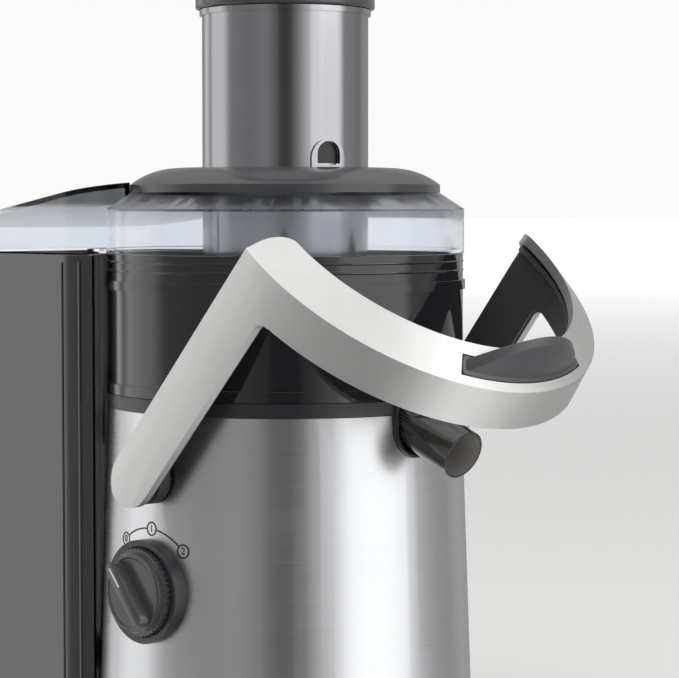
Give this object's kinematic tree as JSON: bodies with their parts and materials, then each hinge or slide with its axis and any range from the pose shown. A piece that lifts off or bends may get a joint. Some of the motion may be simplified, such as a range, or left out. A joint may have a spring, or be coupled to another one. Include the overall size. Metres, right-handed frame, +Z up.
{
  "type": "centrifugal juicer",
  "caption": "Upright centrifugal juicer with a round steel motor base, smoky juice bowl, clear lid with wide feed tube, U-shaped locking arm, juice spout, speed knob and rear pulp container.",
  "frame": {"origin": "on the drive axis at table level, which is also within 3 mm of the middle of the bounding box's underside", "axes": "+Z up along the drive axis, +X towards the juice spout, -X towards the pulp container, -Y towards the speed knob"},
  "size_m": [0.3808, 0.2318, 0.4393],
  "materials": {
    "black_plastic": "fine moulded texture",
    "foot_rubber": "matt",
    "plated_steel": "zinc plated",
    "brushed_skin": "brushed round the body",
    "grey_plastic": "moulded",
    "rim_plastic": "satin gloss",
    "seal_rubber": "smooth",
    "clear_seal": "translucent silicone",
    "cast_alloy": "as cast",
    "core_steel": "varnished laminations",
    "copper_wire": "enamelled copper",
    "bright_brass": "machined",
    "carbon_block": "pressed carbon",
    "board_green": "lacquered board",
    "smoke_plastic": "smoky clear plastic",
    "clear_plastic": "polished clear plastic",
    "dark_gloss": "polished",
    "tube_gloss": "metallic gloss",
    "arm_satin": "satin brushed along the hoop",
    "dark_plastic": "satin",
    "filter_steel": "fine perforated steel",
    "container_gloss": "polished"
  },
  "bodies": {
    "base": {"base_pan": "black_plastic", "rubber_feet": "foot_rubber", "base_screws": "plated_steel", "steel_skin": "brushed_skin", "inner_shell": "grey_plastic", "top_deck": "rim_plastic", "deck_seal": "seal_rubber", "motor_frame_upper": "cast_alloy", "motor_frame_lower": "cast_alloy", "stator_core": "core_steel", "field_coils": "copper_wire", "brush_holders": "bright_brass", "carbon_brushes": "carbon_block", "upper_bearing": "plated_steel", "lower_bearing": "plated_steel", "motor_mounts": "seal_rubber", "motor_screws": "plated_steel", "speed_switch": "black_plastic", "control_board": "board_green", "interlock_switch": "black_plastic", "pivot_bosses": "dark_plastic", "pivot_bushes": "bright_brass", "cord_gland": "seal_rubber", "knob_bezel": "rim_plastic"},
    "knob": {"speed_knob": "dark_gloss", "knob_shaft": "plated_steel"},
    "bowl": {"juice_bowl": "smoke_plastic"},
    "lid": {"lid": "clear_plastic", "lid_seal": "clear_seal", "lid_cover": "dark_gloss", "feed_tube": "tube_gloss"},
    "pusher": {"pusher_body": "dark_plastic", "pusher_cap": "dark_gloss"},
    "arm": {"arm_hoop": "arm_satin", "arm_lining": "dark_plastic", "thumb_tab": "dark_plastic", "pivot_pins": "plated_steel", "pivot_clips": "plated_steel"},
    "rotor": {"motor_shaft": "plated_steel", "armature_core": "core_steel", "armature_windings": "copper_wire", "commutator": "bright_brass", "cooling_fan": "grey_plastic", "drive_coupling": "dark_plastic"},
    "basket": {"basket_hub": "black_plastic", "grating_disc": "filter_steel", "filter_mesh": "filter_steel", "basket_rim": "black_plastic"},
    "container": {"pulp_container": "container_gloss"}
  },
  "joints": [
    {"name": "arm_swing", "type": "hinge", "parent": "base", "child": "arm", "pos_m": [0.003, 0, 0.173], "axis": [0, 1, 0], "range_deg": [-40, 0]},
    {"name": "knob_turn", "type": "hinge", "parent": "base", "child": "knob", "pos_m": [0, -0.11, 0.113], "axis": [0, 1, 0], "range_deg": [0, 86]},
    {"name": "bowl_lift", "type": "slide", "parent": "base", "child": "bowl", "axis": [0, 0, 1], "range_m": [0, 0.09]},
    {"name": "lid_lift", "type": "slide", "parent": "bowl", "child": "lid", "axis": [0, 0, 1], "range_m": [0, 0.09]},
    {"name": "pusher_lift", "type": "slide", "parent": "lid", "child": "pusher", "axis": [0, 0, 1], "range_m": [0, 0.15]},
    {"name": "container_slide", "type": "slide", "parent": "base", "child": "container", "axis": [-1, 0, 0], "range_m": [0, 0.14]},
    {"name": "motor_spin", "type": "hinge", "parent": "base", "child": "rotor", "pos_m": [0, 0, 0.1], "axis": [0, 0, 1], "continuous": true},
    {"name": "basket_spin", "type": "hinge", "parent": "bowl", "child": "basket", "pos_m": [0, 0, 0.22], "axis": [0, 0, 1], "continuous": true}
  ],
  "couplings": [
    {"joint": "basket_spin", "follows": "motor_spin", "ratio": 1}
  ]
}
